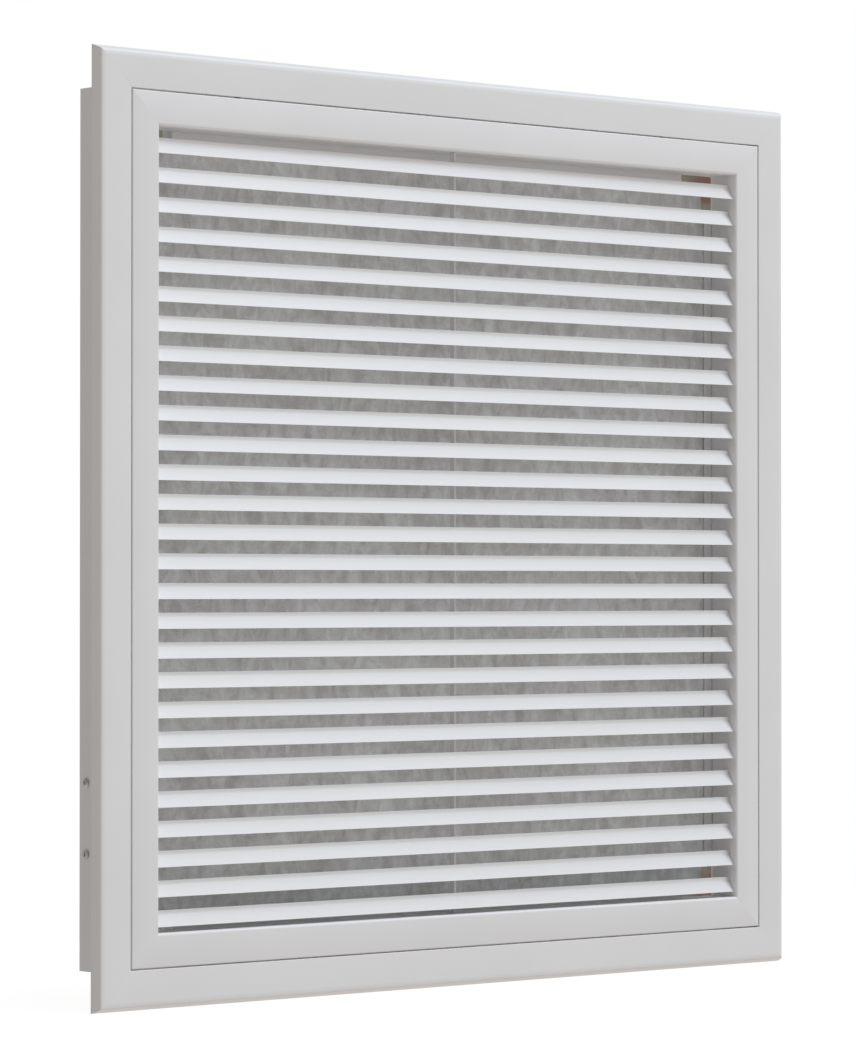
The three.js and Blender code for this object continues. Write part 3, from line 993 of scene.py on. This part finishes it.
def mat_piece():
    """A soft slab: lines of cells inside the outline, closed by side walls, then made uneven."""
    full, corner, rail_end, front, back = mat_outline_sizes()
    xs = grid_lines(full[0], corner[0], rail_end[0])
    zs = grid_lines(full[1], corner[1], rail_end[1])
    work = bmesh.new()
    made = {}

    def vertex(i, j, layer):
        if (i, j, layer) not in made:
            depth = front + (back - front) * layer / MAT_LAYERS
            made[i, j, layer] = work.verts.new((xs[i], depth, zs[j]))
        return made[i, j, layer]

    def inside(i, j):
        if not (0 <= i < len(xs) - 1 and 0 <= j < len(zs) - 1):
            return False
        x = abs(xs[i] + xs[i + 1]) / 2
        z = abs(zs[j] + zs[j + 1]) / 2
        if x < rail_end[0] or z < rail_end[1]:
            return True
        return x < corner[0] and z < corner[1]

    for i in range(len(xs) - 1):
        for j in range(len(zs) - 1):
            if not inside(i, j):
                continue
            ring = [(i, j), (i + 1, j), (i + 1, j + 1), (i, j + 1)]
            work.faces.new([vertex(a, b, 0) for a, b in ring])
            work.faces.new([vertex(a, b, MAT_LAYERS) for a, b in reversed(ring)])
            beside = [(i, j - 1), (i + 1, j), (i, j + 1), (i - 1, j)]
            for k, other in enumerate(beside):
                if inside(*other):
                    continue
                a, b = ring[k], ring[(k + 1) % 4]
                for layer in range(MAT_LAYERS):
                    wall = [(*a, layer), (*a, layer + 1), (*b, layer + 1), (*b, layer)]
                    work.faces.new([vertex(*spot) for spot in wall])
    bmesh.ops.recalc_face_normals(work, faces=work.faces)
    mesh = bpy.data.meshes.new("filter_pad")
    work.to_mesh(mesh)
    work.free()
    uneven_mat(mesh, full, corner, rail_end, front, back)
    pad = linked("filter_pad", mesh)
    mesh.shade_smooth()
    settled(pad, fleece, "filter_fleece", "filter", "filter_mat")


def lump_at(spot):
    lump = noise.fractal(spot * LUMPS_PER_METRE, LUMP_DIMENSION, LUMP_LACUNARITY, LUMP_OCTAVES)
    return lump + TUFT_SHARE * noise.noise(spot * TUFTS_PER_METRE)


def uneven_mat(mesh, full, corner, rail_end, front, back):
    """Rounds the mat's edges, and makes its faces as lumpy as loose fleece."""
    spots = np.empty(len(mesh.vertices) * 3)
    mesh.vertices.foreach_get("co", spots)
    spots = spots.reshape(-1, 3)
    x, y, z = spots.T
    inset = edge_distance(x, z, full, corner, rail_end)
    short = np.clip(MAT_EDGE_ROUND - inset, 0, None)
    pulled = MAT_EDGE_ROUND - np.sqrt(np.clip(MAT_EDGE_ROUND**2 - short**2, 0, None))
    middle = (front + back) / 2
    share = np.clip((y - middle) / ((back - front) / 2), -1, 1)
    lumps = np.array([lump_at(Vector(spot)) for spot in spots])
    sunk = np.clip(SINK_MEAN + SINK_SPREAD * lumps, 0, SINK_MOST) * SINK_DEPTH
    y -= share * (pulled + sunk)
    mesh.vertices.foreach_set("co", np.stack([x, y, z], -1).ravel())
    mesh.update()


# ---- Hinge ----

PIN_RADIUS = 2 * MM
PIN_HEAD = 1.5 * MM
PIN_HEAD_EDGE = 0.4 * MM

SCREW_RADIUS = 2 * MM
SCREW_HEAD_RADIUS = 3.2 * MM
SCREW_HEAD_HEIGHT = 1.4 * MM
SCREW_HEAD_RIM = 0.35 * MM
SCREW_HEAD_CHAMFER = 0.15 * MM
SCREW_HEAD_STEPS = 10
SCREW_STEPS = 40
SCREW_LENGTH = 7 * MM
SCREW_TOUCH = 0.3 * MM
SCREW_NECK = 1 * MM
SCREW_SPIN = 1.2
SCREW_SEED = 7

# Heights in one turn of the thread, from its root to both sides of its crest.
THREAD_PITCH = 0.7 * MM
THREAD_DEPTH = 0.28 * MM
THREAD_ROOT = 0.1 * MM
THREAD_CREST = (0.45 * THREAD_PITCH, 0.6 * THREAD_PITCH)

# Size of the slots at the top of the head, and their share of it at the floor and above the head.
RECESS_LENGTH = 3.6 * MM
RECESS_WIDTH = 0.9 * MM
RECESS_DEPTH = 0.9 * MM
RECESS_FLOOR = 0.55
RECESS_MOUTH = 1.35
RECESS_WIDTH_KEPT = 0.6


def hinge_pieces():
    for side, sign in SIDE_SIGN.items():
        bracket = copied_node(f"hinge_plate_{side}", f"hinge_bracket_{side}")
        smoothed(eased(bracket))
        settled(bracket, zinc, "zinc_plated_steel", "outer_frame", f"hinge_bracket_{side}")
        low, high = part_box(f"hinge_pin_{side}")
        middle = centre_of(f"hinge_pin_{side}")
        length = high.x - low.x
        head_radius = (high.z - low.z) / 2
        corners = [
            (0, 0, 0),
            (head_radius, 0, PIN_HEAD_EDGE),
            (head_radius, PIN_HEAD, PIN_HEAD_EDGE),
            (PIN_RADIUS, PIN_HEAD, 0),
            (PIN_RADIUS, length, PIN_HEAD_EDGE),
            (0, length, 0),
        ]
        inner_end = low.x if sign > 0 else high.x
        pin = turned(
            f"pivot_pin_{side}",
            rounded_profile(corners),
            axis=(sign, 0, 0),
            place=(inner_end, middle.y, middle.z),
        )
        smoothed(pin)
        settled(pin, zinc, "zinc_plated_steel", "core", f"hinge_pin_{side}")


def screw_pattern():
    """A domed screw with a threaded shank and a cross recess, its head SCREW_TOUCH above Z = 0."""
    root = SCREW_RADIUS - THREAD_DEPTH
    profile = [(0, -SCREW_LENGTH)]
    for i in range(int((SCREW_LENGTH - SCREW_NECK) / THREAD_PITCH)):
        low = -SCREW_LENGTH + i * THREAD_PITCH
        profile.append((root, low + THREAD_ROOT))
        profile.extend((SCREW_RADIUS, low + height) for height in THREAD_CREST)
    profile.append((root, -SCREW_NECK))
    profile.append((root, SCREW_TOUCH))
    profile.append((SCREW_HEAD_RADIUS - SCREW_HEAD_CHAMFER, SCREW_TOUCH))
    rise = SCREW_HEAD_HEIGHT - SCREW_HEAD_RIM
    base = SCREW_TOUCH + SCREW_HEAD_RIM
    profile.extend(dome_points(SCREW_HEAD_RADIUS, rise, base, SCREW_HEAD_STEPS))
    screw = turned("screw_pattern", profile, SCREW_STEPS)
    top = SCREW_TOUCH + SCREW_HEAD_HEIGHT
    for turn in (0, 90):
        cut_away(screw, lofted("recess", recess_rings(top, turn)))
    return screw


def recess_rings(top, turn):
    """A tapered slot, from its narrow floor to above the head."""
    spin = Matrix.Rotation(math.radians(turn), 3, "Z")
    rings = []
    for height, share in ((top - RECESS_DEPTH, RECESS_FLOOR), (top + RECESS_DEPTH, RECESS_MOUTH)):
        half_long = RECESS_LENGTH / 2 * share
        half_wide = RECESS_WIDTH / 2 * (RECESS_WIDTH_KEPT + (1 - RECESS_WIDTH_KEPT) * share)
        corners = ((-1, -1), (1, -1), (1, 1), (-1, 1))
        rings.append([spin @ Vector((a * half_long, b * half_wide, height)) for a, b in corners])
    return rings


def screw_tree():
    """Pairs of screws on both sides of the neck, each turned on its own axis to another angle."""
    tree, given, result = new_tree(
        "screw_pairs",
        [
            ("Screw", "Object"),
            ("Half Width", "Float"),
            ("Depth", "Float"),
            ("Upper Height", "Float"),
            ("Spacing", "Float"),
            ("Seed", "Int"),
            ("Material", "Material"),
        ],
    )
    screw = add_node(tree, "GeometryNodeObjectInfo", Object=given["Screw"])
    downwards = calculated(tree, "MULTIPLY", given["Spacing"], -1)
    step = add_node(tree, "ShaderNodeCombineXYZ", Z=downwards)
    joined = tree.nodes.new("GeometryNodeJoinGeometry")
    for sign in (-1, 1):
        across = calculated(tree, "MULTIPLY", given["Half Width"], sign)
        first = add_node(
            tree, "ShaderNodeCombineXYZ", X=across, Y=given["Depth"], Z=given["Upper Height"]
        )
        line = add_node(
            tree,
            "GeometryNodeMeshLine",
            Count=2,
            Start_Location=first.outputs[0],
            Offset=step.outputs[0],
        )
        pair = add_node(
            tree,
            "GeometryNodeInstanceOnPoints",
            Points=line.outputs[0],
            Instance=screw.outputs["Geometry"],
            Rotation=(0, sign * math.pi / 2, 0),
        )
        spin = tree.nodes.new("FunctionNodeRandomValue")
        spin.data_type = "FLOAT"
        spin.inputs[2].default_value = -SCREW_SPIN
        spin.inputs[3].default_value = SCREW_SPIN
        plug(tree, spin.inputs["Seed"], calculated(tree, "ADD", given["Seed"], sign))
        turn = add_node(tree, "ShaderNodeCombineXYZ", Z=spin.outputs[1])
        spun = add_node(
            tree,
            "GeometryNodeRotateInstances",
            Instances=pair.outputs[0],
            Rotation=turn.outputs[0],
        )
        tree.links.new(spun.outputs[0], joined.inputs[0])
    finish_tree(tree, joined.outputs[0], given["Material"], result)
    return tree


def screw_pieces():
    pattern = screw_pattern()
    rows = [f"hinge_screw_{side}_{row}" for side in SIDE_SIGN for row in ("upper", "lower")]
    upper, lower = centre_of("hinge_screw_right_upper"), centre_of("hinge_screw_right_lower")
    screws = grown(
        "hinge_screws",
        screw_tree(),
        {
            "Screw": pattern,
            "Half Width": OUTER[0] - FLANGE_OVERLAP,
            "Depth": upper.y,
            "Upper Height": upper.z,
            "Spacing": upper.z - lower.z,
            "Seed": SCREW_SEED,
            "Material": zinc,
        },
    )
    bpy.data.objects.remove(pattern)
    smoothed(screws)
    settled(screws, zinc, "zinc_plated_steel", "outer_frame", *rows)


# ---- Catches ----

CATCH_RADIUS = 3.5 * MM
CATCH_WALL = 0.9 * MM
CATCH_COLLAR_RADIUS = 5 * MM
CATCH_COLLAR = 1.2 * MM
CATCH_BASE = 2 * MM
CATCH_RIM = 1 * MM
CATCH_TOUCH = 0.3 * MM
NOSE_RADIUS = 1.8 * MM
PLUNGER_RADIUS = 2.3 * MM
PLUNGER_LENGTH = 5.4 * MM
CATCH_EDGE = 0.25 * MM
NOSE_STEPS = 12


def catch_pieces():
    for side in SIDE_SIGN:
        low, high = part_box(f"catch_body_{side}")
        middle = centre_of(f"catch_body_{side}")
        top = high.z - low.z
        collar_top = top - WALL
        bore = CATCH_RADIUS - CATCH_WALL
        mouth = NOSE_RADIUS + CATCH_TOUCH
        corners = [
            (0, 0, 0),
            (CATCH_RADIUS, 0, 2 * CATCH_EDGE),
            (CATCH_RADIUS, collar_top - CATCH_COLLAR, 0),
            (CATCH_COLLAR_RADIUS, collar_top - CATCH_COLLAR, CATCH_EDGE),
            (CATCH_COLLAR_RADIUS, collar_top, CATCH_EDGE),
            (CATCH_RADIUS, collar_top, 0),
            (CATCH_RADIUS, top, CATCH_EDGE),
            (mouth, top, CATCH_EDGE),
            (mouth, top - CATCH_RIM, 0),
            (bore, top - CATCH_RIM, 0),
            (bore, CATCH_BASE, 0),
            (0, CATCH_BASE, 0),
        ]
        cup = turned(
            f"catch_cup_{side}", rounded_profile(corners), place=(middle.x, middle.y, low.z)
        )
        smoothed(cup)
        settled(cup, zinc, "zinc_plated_steel", "core", f"catch_body_{side}")
        low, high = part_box(f"catch_plunger_{side}")
        dome_base = high.z - low.z - NOSE_RADIUS
        profile = rounded_profile(
            [
                (0, 0, 0),
                (PLUNGER_RADIUS, 0, CATCH_EDGE),
                (PLUNGER_RADIUS, PLUNGER_LENGTH, CATCH_EDGE),
                (NOSE_RADIUS, PLUNGER_LENGTH, 0),
            ]
        )
        profile.extend(dome_points(NOSE_RADIUS, NOSE_RADIUS, dome_base, NOSE_STEPS))
        nose = turned(f"catch_nose_{side}", profile, place=(middle.x, middle.y, low.z))
        smoothed(nose)
        settled(nose, zinc, "zinc_plated_steel", f"catch_{side}", f"catch_plunger_{side}")


# ---- Assembly ----

studio()
frame_pieces()
blade_pieces()
mullion_piece()
rail_pieces()
mat_piece()
hinge_pieces()
screw_pieces()
catch_pieces()
